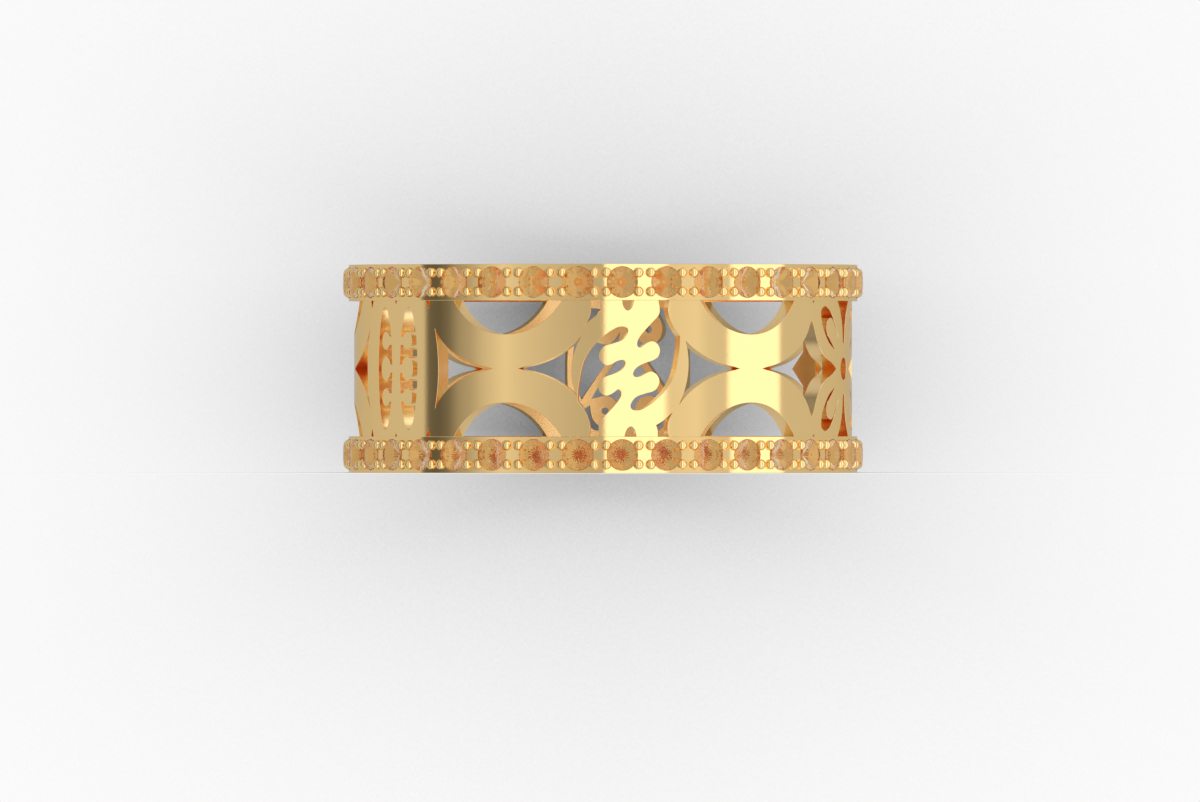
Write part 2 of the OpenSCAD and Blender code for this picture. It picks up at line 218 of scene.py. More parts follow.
def side_gap(side, upper, lower, rim, corner):
    """The three-cornered gap between a crescent pair and a panel's rim."""
    top = [(side * TIP_U, 0)] + horn(side, upper, 20)
    low = flip_v(horn(side, lower, 20))
    if corner:
        edge = [(side * rim, CORNER_V), (side * (rim - corner), 0), (side * rim, -CORNER_V)]
        return top + edge + low[::-1]
    p, q = top[-1], low[-1]
    mid = 2 * side * rim - (p[0] + q[0]) / 2
    edge = []
    for i in range(1, 14):
        t = i / 14
        u = (1 - t) ** 2 * p[0] + 2 * t * (1 - t) * mid + t * t * q[0]
        edge.append((u, (1 - t) * p[1] + t * q[1]))
    return top + edge + low[::-1]


HORNS = [-88, -23, 36.3, 140.6, 207.6, 272]
# angle of the crescent pair, side, upper tip, lower tip, rim at mid height, corner standing into the gap
SIDES = [
    (-88, 1, 1.68, 1.68, 3.22, 0),
    (-23, -1, 1.69, 1.67, 3.35, 0),
    (-23, 1, 1.4, 1.15, 2.92, 0),
    (36.3, -1, 1.17, 1.55, 3.05, 0),
    (140.6, -1, 1.95, 1.95, 3.7, 0.92),
    (140.6, 1, 1.78, 1.78, 3.46, 0),
    (207.6, -1, 1.78, 1.78, 3.46, 0),
    (207.6, 1, 1.68, 1.68, 3.22, 0),
    (272, -1, 1.68, 1.68, 3.22, 0),
]


def crescent_gaps():
    gaps = []
    for at in HORNS:
        gaps += [placed(bay(), at), placed(flip_v(bay()), at)]
    for at, *row in SIDES:
        gaps.append(placed(side_gap(*row), at))
    return gaps


print("gaps round the crescents:", len(crescent_gaps()))

# %% [markdown]
# ## Comb panels
# A comb panel is a small frame with a row of round teeth on each side of an upright spine. It could be an
# outline traced tooth by tooth. Here it is a tall oval with three discs that reach in from the spine, so the
# teeth stay round and evenly spaced, and one oval is mirrored to give the other.

# %% Comb panels: two tall ovals, with three discs reaching in from the spine
COMBS = [-55.9, 106, 239.8]
DISC_U = 0.815
NECK_H = 0.18
OVAL_U = 0.889
OVAL_A = 0.593
OVAL_B = 2.6
# height of the disc, half width, half height
DISCS = [(1.18, 0.33, 0.38), (0, 0.39, 0.525), (-1.22, 0.33, 0.38)]


def spine_side(v):
    return OVAL_U - OVAL_A * math.sqrt(1 - (v / OVAL_B) ** 2)


def comb():
    path = arc(OVAL_U, 0, OVAL_A, OVAL_B, -90, 90, 40)
    path += [(spine_side(v), v) for v in (2.56, 2.45, 2.3, 2.1, 1.9, 1.7, 1.5)]
    for v, a, b in DISCS:
        turn = 180 - math.degrees(math.asin(NECK_H / b))
        path.append((spine_side(v + NECK_H), v + NECK_H))
        path += arc(DISC_U, v, a, b, turn, -turn, 30)
        path.append((spine_side(v - NECK_H), v - NECK_H))
    path += [(spine_side(v), v) for v in (-1.6, -1.8, -2, -2.2, -2.4, -2.55)]
    return path


def comb_gaps(at):
    nick = smooth(RIM_NICK, 3)
    mark = smooth(MID_NICK, 1)
    paths = [comb(), flip_u(comb()), mark, flip_v(mark)]
    paths += [nick, flip_v(nick), flip_u(nick), turned(nick)]
    return [placed(path, at) for path in paths]


print("gaps in one comb panel:", len(comb_gaps(0)))

# %% [markdown]
# ## The wavy symbol
# The front panel holds a traditional upright symbol with wavy arms. It looks the same when it is turned half
# a round, so only half of its gaps are drawn and the rest are the same curves turned. A curve through a few
# points follows the arms better here than arcs do, because their ends are full and their necks are pinched.

# %% The turned symbol: half of its gaps are drawn, the other half is the same turned round
SYMBOL_AT = 6


def symbol_gaps(at):
    paths = []
    for rows in (SYMBOL_MAIN, SYMBOL_NOTCH, SYMBOL_CORNER):
        path = smooth(rows, 4)
        paths += [path, turned(path)]
    return [placed(path, at) for path in paths]


# %% [markdown]
# ## The flower
# Four petals meet at a small eye, each petal has a curved slot, and a four-pointed star stands beside the
# flower. One petal's slot is drawn and then mirrored up and sideways, as a goldsmith would prick the four
# petals from one paper pattern.

# %% The flower: four petals, a slot in each, and a four-pointed star beside it
FLOWER_AT = 74.6


def star():
    shift = (HORNS[2] - FLOWER_AT) * DEG
    top = [(u + shift, v) for u, v in horn(1, 1.98, 24)]
    edge = smooth(PETAL_EDGE, 5)[:-1]
    edge = [p for p in edge if math.dist(p, top[-1]) > 0.03]
    tip = [(shift + TIP_U, 0)]
    return tip + top + edge + [(-1.01, 0)] + flip_v(edge)[::-1] + flip_v(top)[::-1]


def flower_gaps(at):
    slot = smooth(PETAL_SLOT, 4)
    spike = smooth(SPIKE, 5)
    nick = smooth(FAR_NICK, 1)
    paths = [star(), smooth(FLOWER_SIDE, 5), arc(0, 0, 0.47, 0.47, 0, 352.5, 47)]
    paths += [spike, flip_v(spike), nick, flip_v(nick)]
    paths += [slot, flip_u(slot), flip_v(slot), turned(slot)]
    return [placed(path, at) for path in paths]


# %% [markdown]
# ## The curl panel
# Through the gaps of the front panel the far side shows round curls and two legs that spread downwards. The
# panel is drawn like the others, half of it mirrored, because parts of it are seen past the front symbol and
# the two have to line up by the same angles round the ring.

# %% The curl panel on the far side: four round curls at its corners and two legs that spread downwards
CURLS_AT = 174.1
CURL_U = 1
CURL_TOP = 1.7
CURL_LOW = -1.8
CURL_HOLE = 0.15


def curl_gaps(at):
    sides = [smooth(BESIDE_LEG, 4), smooth(BELOW_LEG, 4)]
    for v in (CURL_TOP, CURL_LOW):
        sides.append(arc(CURL_U, v, CURL_HOLE, CURL_HOLE, 0, 345, 23))
    between = HALF_BETWEEN_LEGS + [(-u, v, corner) for u, v, corner in HALF_BETWEEN_LEGS[-2:0:-1]]
    paths = [smooth(between, 4)] + sides + [flip_u(path) for path in sides]
    return [placed(path, at) for path in paths]


def all_gaps():
    gaps = crescent_gaps() + symbol_gaps(SYMBOL_AT) + flower_gaps(FLOWER_AT) + curl_gaps(CURLS_AT)
    for at in COMBS:
        gaps += comb_gaps(at)
    return gaps


print("gaps in the whole band:", len(all_gaps()))

# %% [markdown]
# ## The pierced band
# A filled 2D curve is the quickest clean way to a plate with holes: every outline is one closed spline, and
# Blender fills what lies between them. Its own bevel takes the sharp edge off each cut, as a polishing wheel
# does. The plate is then sliced across at even steps, so that it can bend, and rolled up.

# %% Pierce a flat plate


def pierced_plate(paths, half_thick, chamfer):
    curve = bpy.data.curves.new("flat_plate", "CURVE")
    curve.dimensions = "2D"
    curve.fill_mode = "BOTH"
    curve.extrude = half_thick - chamfer
    curve.bevel_depth = chamfer
    curve.bevel_resolution = 0
    curve.offset = -chamfer
    for path in paths:
        spline = curve.splines.new("POLY")
        spline.points.add(len(path) - 1)
        for point, (u, v) in zip(spline.points, path):
            point.co = (u, v, 0, 1)
        spline.use_cyclic_u = True
    holder = bpy.data.objects.new("flat_plate", curve)
    bpy.context.scene.collection.objects.link(holder)
    bpy.context.view_layer.update()
    flat = bpy.data.meshes.new_from_object(holder.evaluated_get(bpy.context.evaluated_depsgraph_get()))
    bpy.data.objects.remove(holder)
    bpy.data.curves.remove(curve)
    bm = bmesh.new()
    bm.from_mesh(flat)
    bpy.data.meshes.remove(flat)
    bmesh.ops.remove_doubles(bm, verts=bm.verts, dist=1e-5)
    return bm


def slice_plate(bm, length, parts):
    """Cuts the plate across at even steps and trims it to its length."""
    for k in range(parts + 1):
        geom = bm.verts[:] + bm.edges[:] + bm.faces[:]
        bmesh.ops.bisect_plane(
            bm, geom=geom, dist=1e-5, plane_co=(length * k / parts, 0, 0), plane_no=(1, 0, 0),
            clear_inner=k == 0, clear_outer=k == parts)


# how far the plate runs past both seams before it is trimmed, and up under the rails
END = 4.6
EDGE_V = HALF_GAP + 0.21
CHAMFER = 0.007
outer = [(-END, -EDGE_V), (GIRTH + END, -EDGE_V), (GIRTH + END, EDGE_V), (-END, EDGE_V)]
band_flat = pierced_plate([outer] + all_gaps(), (BAND_R - BAND_IN) / 2, CHAMFER)
print("flat plate:", len(band_flat.verts), "corners,", len(band_flat.faces), "faces")

# %% [markdown]
# ## Slicing and rolling
# A flat plate that is simply bent shows long flat facets, because its only corners are on the cut outlines.
# A modifier could bend it, but would still need corners in between. So the plate is first cut across by
# planes every few degrees, and then each corner is moved onto the circle. The slices leave no line, since
# the outer and the inner face get the directions of a true cylinder.

# %% Slice and roll the plate
SLICES = 120
slice_plate(band_flat, GIRTH, SLICES)


def roll(bm, unit_r, middle_r, start):
    """Rolls u into an angle, v into height and w into the radius, and turns millimetres into metres."""
    for vert in bm.verts:
        u, v, w = vert.co
        turn = math.radians(start) + u / unit_r
        r = middle_r + w
        vert.co = Vector((r * math.sin(turn), -r * math.cos(turn), MID + v)) * MM


roll(band_flat, BAND_R, (BAND_R + BAND_IN) / 2, SEAM)
bmesh.ops.remove_doubles(band_flat, verts=band_flat.verts, dist=2e-8)
print("rolled band:", len(band_flat.faces), "faces")

# %% [markdown]
# ## Smooth gold
# Polished metal shows every facet, so the rolled faces get normals that point straight out from the finger
# axis. Only the round faces are changed, and the walls of the gaps keep their own.

# %% Finish a gold mesh
# an edge bent more than this many degrees stays sharp
SHARP = 28
# a face counts as round when it faces out or in as squarely as this
SQUARE = 0.995


def gold_mesh(name, bm, node):
    mesh = bpy.data.meshes.new(name)
    bm.to_mesh(mesh)
    bm.free()
    mesh.shade_smooth()
    mesh.set_sharp_from_angle(angle=math.radians(SHARP))
    normals = [Vector(n.vector) for n in mesh.corner_normals]
    for face in mesh.polygons:
        middle = Vector((face.center.x, face.center.y, 0)).normalized()
        lean = face.normal.dot(middle)
        if abs(lean) < SQUARE:
            continue
        for loop in face.loop_indices:
            co = mesh.vertices[mesh.loops[loop].vertex_index].co
            out = Vector((co.x, co.y, 0)).normalized()
            normals[loop] = out if lean > 0 else -out
    mesh.normals_split_custom_set(normals)
    piece = bpy.data.objects.new(name, mesh)
    bpy.context.scene.collection.objects.link(piece)
    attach(piece, "root")
    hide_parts(node)
    print(name, len(mesh.polygons), "faces")
    return piece


band = gold_mesh("openwork_band", band_flat, "ring_band")

# %% [markdown]
# ## The rails
# A rail is 36 equal cells, one for each stone. One flat cell has the pierced face, the cup that the stone
# sits in, and the rail's edges; the four beads raised round the stone are made apart. The cell is copied
# along the strip, and the strip is rolled up like the band.

# %% One flat cell of a rail
CELL = 2 * math.pi * RAIL_R / STONE_COUNT
COLUMNS = 10
EDGE = 0.015
SEAT_R = STONE_R + 0.02
HALF = RAIL_H / 2
THICK = RAIL_R - INNER_R
# the broken edges on the finger side
EASE = 0.09
# the rail's section from the outer face round the top, the finger side and the bottom: v, w
SECTION = [
    (HALF - EDGE, 0), (HALF, -EDGE), (HALF, EASE - THICK), (HALF - EASE, -THICK),
    (EASE - HALF, -THICK), (-HALF, EASE - THICK), (-HALF, -EDGE), (EDGE - HALF, 0),
]
# the cup under a stone: radius, depth, depth of the flutes that the bur leaves
CUP = [(SEAT_R, -0.05, 0), (SEAT_R - 0.05, -0.09, 0), (0.3, -0.36, 0.035), (0.06, -0.56, 0)]
CUP_SIDES = 32
# pairs of light and dark rays at the bottom of a cup, and how far out they reach; on the lower rail the dark
# rays are painted shade for the stones' dark facet reflections
RAY_COUNT = 16
RAY_REACH = 0.25


def cell_edge(bm, v, w):
    step = CELL / COLUMNS
    return [bm.verts.new((step * i - CELL / 2, v, w)) for i in range(COLUMNS + 1)]


def rail_cell():
    bm = bmesh.new()
    lines = [cell_edge(bm, v, w) for v, w in SECTION]
    for low, high in zip(lines, lines[1:]):
        for i in range(COLUMNS):
            bm.faces.new((low[i], low[i + 1], high[i + 1], high[i])[::-1])
    ring = bmesh.ops.create_circle(bm, cap_ends=False, radius=SEAT_R, segments=CUP_SIDES)["verts"]
    seat = [e for e in bm.edges if e.verts[0] in ring]
    fill = seat[:]
    for line in (lines[0], lines[-1]):
        fill += [bm.edges.get((line[i], line[i + 1])) for i in range(COLUMNS)]
    for i in (0, COLUMNS):
        fill.append(bm.edges.new((lines[0][i], lines[-1][i])))
    bmesh.ops.triangle_fill(bm, use_beauty=True, edges=fill, normal=(0, 0, 1))
    for radius, depth, flute in CUP:
        made = bmesh.ops.extrude_edge_only(bm, edges=seat)["geom"]
        verts = [g for g in made if isinstance(g, bmesh.types.BMVert)]
        seat = [g for g in made if isinstance(g, bmesh.types.BMEdge)]
        for vert in verts:
            turn = math.atan2(vert.co.y, vert.co.x)
            side = round(turn * CUP_SIDES / 2 / math.pi) % 2
            flat = Vector((math.cos(turn), math.sin(turn))) * (radius - flute * side)
            vert.co = (flat.x, flat.y, depth)
    bmesh.ops.contextual_create(bm, geom=seat)
    for face in bm.faces:
        middle = face.calc_center_median()
        away = math.hypot(middle.x, middle.y)
        if middle.z < -0.02 and away < SEAT_R + 0.01 and face.normal.z > 0.1:
            # slot 2 on the lower rail is painted shade: dark rays for the stones' facet reflections
            ray = int((math.atan2(middle.y, middle.x) + math.pi) * RAY_COUNT / math.pi)
            face.material_index = 1 + ray % 2 * (away < RAY_REACH)
    return bm


cell = rail_cell()
print("one rail cell:", len(cell.faces), "faces")

# %% [markdown]
# ## Beads
# Each stone is held by four round beads that are raised from the rail beside it. They could be part of the
# rail's own mesh, but small domes that sit in its surface look the same, and stay cheap when there are
# hundreds of them. Each is a small ball with most of the buried half taken off and the cut closed.

# %% Beads on the cell
BEAD_R = 0.228
BEAD_U = 0.684
BEAD_V = 0.402
BEAD_SUNK = 0.1


def add_bead(bm, u, v):
    made = bmesh.ops.create_uvsphere(bm, u_segments=14, v_segments=8, radius=BEAD_R)["verts"]
    buried = [vert for vert in made if vert.co.z < -BEAD_SUNK]
    kept = [vert for vert in made if vert.co.z >= -BEAD_SUNK]
    bmesh.ops.delete(bm, geom=buried, context="VERTS")
    bmesh.ops.translate(bm, verts=kept, vec=(u, v, 0))


def bead_field():
    bm = bmesh.new()
    for i in range(STONE_COUNT):
        for side in (-1, 1):
            for end in (-1, 1):
                add_bead(bm, CELL * i + side * BEAD_U, end * BEAD_V)
    bmesh.ops.holes_fill(bm, edges=bm.edges[:], sides=0)
    return bm


beads_flat = bead_field()
print("beads on one rail:", len(beads_flat.verts), "corners")

# %% [markdown]
# ## A strip of cells
# The rail repeats itself 36 times. An array modifier would do, but copying the cell by hand keeps the seam
# in one place: the corners of neighbouring cells fall together and are merged after the roll, also where
# the last cell meets the first.

# %% Copy the cell along the strip and roll it up


def strip_of_cells(cell):
    mesh = bpy.data.meshes.new("cell")
    cell.to_mesh(mesh)
    strip = bmesh.new()
    for i in range(STONE_COUNT):
        before = len(strip.verts)
        strip.from_mesh(mesh)
        strip.verts.ensure_lookup_table()
        bmesh.ops.translate(strip, verts=strip.verts[before:], vec=(CELL * i, 0, 0))
    bpy.data.meshes.remove(mesh)
    return strip


def rolled_rail(flat, v):
    bm = flat.copy()
    bmesh.ops.translate(bm, verts=bm.verts, vec=(0, v, 0))
    roll(bm, RAIL_R, RAIL_R, STONE_START)
    bmesh.ops.remove_doubles(bm, verts=bm.verts, dist=1e-8)
    return bm


strip = strip_of_cells(cell)
RAIL_V = MID - HALF
rails = []
for name, v in (("upper", RAIL_V), ("lower", -RAIL_V)):
    rails.append(gold_mesh(name + "_rail", rolled_rail(strip, v), "ring_band"))
    rails.append(gold_mesh(name + "_beads", rolled_rail(beads_flat, v), "ring_band"))
strip.free()
cell.free()
beads_flat.free()

# %% [markdown]
# ## The stones
# Each stone is a round brilliant cut. The corners of its facets lie on five rings, and the flat facets are
# simply the convex hull of those corners, so only the rings have to be right. The kite facets stay flat
# because the middle ring is placed on their plane.

# %% One brilliant-cut stone
# height of the girdle over the rail, and its thickness
GIRDLE_UP = 0.05
GIRDLE = 0.02
CROWN = 0.2
PAVILION = 0.52
TABLE_R = 0.345
STAR_R = 0.484
KEEL_R = 0.15
# an eighth of a turn, halved: the star and keel corners stand between the table's
BETWEEN = 22.5
# facets that are flatter to each other than this many degrees are one
ONE_FACET = 0.6


def ring_of(bm, count, radius, height, turn):
    made = bmesh.ops.create_circle(bm, cap_ends=False, radius=radius, segments=count)["verts"]
    bmesh.ops.rotate(bm, verts=made, cent=(0, 0, 0), matrix=Matrix.Rotation(math.radians(turn), 3, "Z"))
    bmesh.ops.translate(bm, verts=made, vec=(0, 0, height))


def brilliant():
    bm = bmesh.new()
    half = math.cos(math.radians(BETWEEN))
    star_h = CROWN - (STAR_R * half - TABLE_R) * CROWN / (STONE_R - TABLE_R)
    keel_h = -PAVILION + KEEL_R * half * (PAVILION - GIRDLE) / STONE_R
    ring_of(bm, 8, TABLE_R, CROWN, 0)
    ring_of(bm, 8, STAR_R, star_h, BETWEEN)
    ring_of(bm, 16, STONE_R, 0, 0)
    ring_of(bm, 16, STONE_R, -GIRDLE, 0)
    ring_of(bm, 8, KEEL_R, keel_h, BETWEEN)
    bm.verts.new((0, 0, -PAVILION))
    bmesh.ops.delete(bm, geom=bm.edges[:], context="EDGES_FACES")
    bmesh.ops.convex_hull(bm, input=bm.verts[:])
    bmesh.ops.dissolve_limit(bm, angle_limit=math.radians(ONE_FACET), verts=bm.verts[:], edges=bm.edges[:])
    bmesh.ops.recalc_face_normals(bm, faces=bm.faces[:])
    return bm


stone = brilliant()
print("facets on one stone:", len(stone.faces))

# %% [markdown]
# ## Setting the stones
# The stones stand upright on the rail, table outwards, one in each cup. A copy of the stone is turned to each
# place round the ring, straight into one mesh for each row, so a row is one piece, as its solid is.

# %% Set the stones


def stone_row(name, z, node):
    mesh = bpy.data.meshes.new("one_stone")
    stone.to_mesh(mesh)
    bm = bmesh.new()
    for i in range(STONE_COUNT):
        turn = Matrix.Rotation(math.radians(STONE_START + i * 360 / STONE_COUNT), 4, "Z")
        stand = Matrix.Translation((0, -RAIL_R - GIRDLE_UP, z)) @ Matrix.Rotation(math.radians(90), 4, "X")
        before = len(bm.verts)
        bm.from_mesh(mesh)
        bm.verts.ensure_lookup_table()
        bmesh.ops.transform(bm, matrix=Matrix.Scale(MM, 4) @ turn @ stand, verts=bm.verts[before:])
    bpy.data.meshes.remove(mesh)
    out = bpy.data.meshes.new(name)
    bm.to_mesh(out)
    bm.free()
    piece = bpy.data.objects.new(name, out)
    bpy.context.scene.collection.objects.link(piece)
    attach(piece, "root")
    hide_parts(node)
    print(name, len(out.polygons), "facets")
    return piece


upper = stone_row("upper_stone_row", RING_H - HALF, "upper_stones")
lower = stone_row("lower_stone_row", HALF, "lower_stones")
stone.free()

# %% [markdown]
# ## Gold
# Polished 18 carat gold is a bright yellow metal, and only satin inside the ring and in the walls of the
# gaps. Two things keep it from looking like plastic: a very fine polishing haze that changes the gloss from
# place to place, and a grain that shows only in highlights. Both come from one node group, which every gold
# piece uses with its own values. Deep in a gap the gold also glows a dark red by itself, on rays from the
# fourth bounce on. This is a painted glow that stands in for light thrown back and forth there.

# %% Polishing group


def socket(group, name, way, kind, value=None):
    made = group.interface.new_socket(name=name, in_out=way, socket_type=kind)
    if value is not None:
        made.default_value = value
    return made


def polish_group():
    group = bpy.data.node_groups.new("polish", "ShaderNodeTree")
    socket(group, "Bright", "INPUT", "NodeSocketColor", (0.92, 0.65, 0.29, 1))
    socket(group, "Deep", "INPUT", "NodeSocketColor", (0.86, 0.58, 0.24, 1))
    socket(group, "Gloss", "INPUT", "NodeSocketFloat", 0.12)
    socket(group, "Haze", "INPUT", "NodeSocketFloat", 0.05)
    socket(group, "Color", "OUTPUT", "NodeSocketColor")
    socket(group, "Roughness", "OUTPUT", "NodeSocketFloat")
    socket(group, "Height", "OUTPUT", "NodeSocketFloat")
    nodes = group.nodes
    links = group.links
    inp = nodes.new("NodeGroupInput")
    out = nodes.new("NodeGroupOutput")
    coord = nodes.new("ShaderNodeTexCoord")
    cloud = nodes.new("ShaderNodeTexNoise")
    cloud.inputs["Scale"].default_value = 420
    cloud.inputs["Detail"].default_value = 3
    links.new(coord.outputs["Object"], cloud.inputs["Vector"])
    mix = nodes.new("ShaderNodeMix")
    mix.data_type = "RGBA"
    links.new(cloud.outputs["Fac"], mix.inputs["Factor"])
    links.new(inp.outputs["Deep"], mix.inputs["A"])
    links.new(inp.outputs["Bright"], mix.inputs["B"])
    links.new(mix.outputs["Result"], out.inputs["Color"])
    gloss = nodes.new("ShaderNodeMath")
    gloss.operation = "MULTIPLY_ADD"
    links.new(cloud.outputs["Fac"], gloss.inputs[0])
    links.new(inp.outputs["Haze"], gloss.inputs[1])
    links.new(inp.outputs["Gloss"], gloss.inputs[2])
    links.new(gloss.outputs[0], out.inputs["Roughness"])
    grain = nodes.new("ShaderNodeTexNoise")
    grain.inputs["Scale"].default_value = 9000
    grain.inputs["Detail"].default_value = 2
    links.new(coord.outputs["Object"], grain.inputs["Vector"])
    links.new(grain.outputs["Fac"], out.inputs["Height"])
    return group


polish = polish_group()
print("group sockets:", [item.name for item in polish.interface.items_tree])

# %% Gold material
# the gold's tone at a grazing look
GRAZING = (0.98, 0.88, 0.68, 1)
# painted glow: the dark red that the gold emits on rays from the fourth mirror bounce on, standing in for the
# light left in deep gaps
PAINTED_GAP_GLOW = (0.14, 0.015, 0, 1)
PAINTED_GLOW_FROM = 2.5
# depth of the polishing grain, in metres
GRAIN_DEPTH = 0.000002


def gold(name, bright, dark, gloss, haze, relief):
    mat = bpy.data.materials.new(name)
    mat.use_nodes = True
    nodes = mat.node_tree.nodes
    links = mat.node_tree.links
    shader = nodes["Principled BSDF"]
    shader.inputs["Metallic"].default_value = 1
    shader.inputs["Specular Tint"].default_value = GRAZING
    shader.inputs["Emission Strength"].default_value = 1
    # painted glow: the gold emits dark red on rays from the fourth bounce on
    rays = nodes.new("ShaderNodeLightPath")
    deep = nodes.new("ShaderNodeMath")
    deep.operation = "GREATER_THAN"
    deep.inputs[1].default_value = PAINTED_GLOW_FROM
    gap_glow = nodes.new("ShaderNodeMix")
    gap_glow.data_type = "RGBA"
    gap_glow.inputs["A"].default_value = (0, 0, 0, 1)
    gap_glow.inputs["B"].default_value = PAINTED_GAP_GLOW
    links.new(rays.outputs["Ray Depth"], deep.inputs[0])
    links.new(deep.outputs[0], gap_glow.inputs["Factor"])
    links.new(gap_glow.outputs["Result"], shader.inputs["Emission Color"])
    finish = nodes.new("ShaderNodeGroup")
    finish.node_tree = polish
    finish.inputs["Bright"].default_value = (*bright, 1)
    finish.inputs["Deep"].default_value = (*dark, 1)
    finish.inputs["Gloss"].default_value = gloss
    finish.inputs["Haze"].default_value = haze
    bump = nodes.new("ShaderNodeBump")
    bump.inputs["Strength"].default_value = relief
    bump.inputs["Distance"].default_value = GRAIN_DEPTH
    links.new(finish.outputs["Color"], shader.inputs["Base Color"])
    links.new(finish.outputs["Roughness"], shader.inputs["Roughness"])
    links.new(finish.outputs["Height"], bump.inputs["Height"])
    links.new(bump.outputs["Normal"], shader.inputs["Normal"])
    return mat


OUTWARDS = 0.9
band_gold = gold("band_gold", (0.93, 0.66, 0.3), (0.9, 0.63, 0.27), 0.07, 0.03, 0.3)
satin_gold = gold("satin_gold", (0.92, 0.67, 0.34), (0.9, 0.64, 0.3), 0.2, 0.06, 0.8)
rail_gold = gold("rail_gold", (0.93, 0.66, 0.3), (0.9, 0.63, 0.27), 0.04, 0.03, 0.2)
band.data.materials.append(band_gold)
band.data.materials.append(satin_gold)
# every face of the band that doesn't look outwards is satin
for face in band.data.polygons:
    if face.normal.dot(Vector((face.center.x, face.center.y, 0)).normalized()) < OUTWARDS:
        face.material_index = 1
cup_gold = gold("cup_gold", (0.95, 0.78, 0.52), (0.93, 0.75, 0.48), 0.05, 0.03, 0.2)
# painted shade: the dark rays at the bottom of the lower cups, standing in for the stones' dark facet
# reflections
painted_shade_gold = gold("painted_shade_gold", (0.85, 0.42, 0.2), (0.4, 0.14, 0.1), 0.15, 0.1, 0.4)
for piece in rails:
    piece.data.materials.append(rail_gold)
    piece.data.materials.append(cup_gold)
    # the lower rail's dark cup rays are painted shade
    piece.data.materials.append(painted_shade_gold if piece.name == "lower_rail" else cup_gold)
print("gold set on", 1 + len(rails), "pieces")

# %% [markdown]
# ## Stones and their cups
# The stones are pale and clear, and look tan because the gold of the cup shows through them. A clear glass
# of the real index throws so much light back by itself that the cup is hidden, so the glass here bends light
# more mildly and carries a light tint. A very fine unevenness breaks up the facets as the small sparkles
# do. The lower cups have dark rays of painted shade at the bottom, standing in for the stones' dark facet
# reflections, and they show as a star in the middle of each stone.

# %% Stone material
# depth of the fine unevenness of the facets, in metres
UNEVEN_DEPTH = 0.00001


def gem(name, tint, index, relief):
    mat = bpy.data.materials.new(name)
    mat.use_nodes = True
    nodes = mat.node_tree.nodes
    links = mat.node_tree.links
    shader = nodes["Principled BSDF"]
    shader.inputs["Base Color"].default_value = (*tint, 1)
    shader.inputs["Roughness"].default_value = 0
    shader.inputs["IOR"].default_value = index
    shader.inputs["Transmission Weight"].default_value = 1
    coord = nodes.new("ShaderNodeTexCoord")
    grain = nodes.new("ShaderNodeTexNoise")
    grain.inputs["Scale"].default_value = 14000
    grain.inputs["Detail"].default_value = 1
    bump = nodes.new("ShaderNodeBump")
    bump.inputs["Strength"].default_value = relief
    bump.inputs["Distance"].default_value = UNEVEN_DEPTH
    links.new(coord.outputs["Object"], grain.inputs["Vector"])
    links.new(grain.outputs["Fac"], bump.inputs["Height"])
    links.new(bump.outputs["Normal"], shader.inputs["Normal"])
    return mat


upper.data.materials.append(gem("upper_stone", (0.89, 0.76, 0.54), 1.2, 0.4))
lower.data.materials.append(gem("lower_stone", (0.9, 0.76, 0.53), 1.22, 1.2))

# %% [markdown]
# ## Floor, backdrop and light
# The ring lies on a pale floor. A pale wall stands close behind it, so that the gaps show a shaded grey and
# the wall takes a soft shadow. Wall and floor are not lit: they glow by themselves, and the soft shadow is
# that glow dimmed by ambient occlusion. In the gold's reflections the wall glows dimmer than it does to the
# eye. The light is a soft studio dome with bright and dark stretches round it. The
# polished band is a mirror bent round a cylinder, so each stretch of the dome shows as an upright stripe.

# %% Floor and backdrop
# how bright the wall and the floor are to the eye, and how bright the wall looks in the gold's reflections
WALL_LEVEL = 0.985
FLOOR_LEVEL = 0.96
MIRRORED_LEVEL = 0.68


def sheet(name, corners, level, reach):
    bm = bmesh.new()
    bm.faces.new([bm.verts.new(co) for co in corners])
    mesh = bpy.data.meshes.new(name)
    bm.to_mesh(mesh)
    bm.free()
    piece = bpy.data.objects.new(name, mesh)
    bpy.context.scene.collection.objects.link(piece)
    mat = bpy.data.materials.new(name)
    mat.use_nodes = True
    nodes = mat.node_tree.nodes
    links = mat.node_tree.links
    nodes.remove(nodes["Principled BSDF"])
    shade = nodes.new("ShaderNodeAmbientOcclusion")
    shade.samples = 8
    shade.inputs["Distance"].default_value = reach
    # the sheet glows instead of being lit; an ambient occlusion node dims the glow into a soft shadow, and
    # rays other than the camera's see it dimmer
    sheet_glow = nodes.new("ShaderNodeEmission")
    scale = nodes.new("ShaderNodeMath")
    scale.operation = "MULTIPLY"
    rays = nodes.new("ShaderNodeLightPath")
    glow = nodes.new("ShaderNodeMapRange")
    glow.inputs["To Min"].default_value = MIRRORED_LEVEL
    glow.inputs["To Max"].default_value = level
    clear = nodes.new("ShaderNodeBsdfTransparent")
    pick = nodes.new("ShaderNodeMixShader")
    back = nodes.new("ShaderNodeNewGeometry")
    links.new(rays.outputs["Is Camera Ray"], glow.inputs["Value"])
    links.new(glow.outputs["Result"], scale.inputs[1])
    links.new(shade.outputs["AO"], scale.inputs[0])
    links.new(scale.outputs[0], sheet_glow.inputs["Strength"])
    links.new(back.outputs["Backfacing"], pick.inputs["Fac"])
    links.new(sheet_glow.outputs["Emission"], pick.inputs[1])
    links.new(clear.outputs["BSDF"], pick.inputs[2])
    links.new(pick.outputs["Shader"], nodes["Material Output"].inputs["Surface"])
    mesh.materials.append(mat)
    piece.visible_diffuse = False
    piece.visible_transmission = False
    piece.visible_shadow = False
    return piece


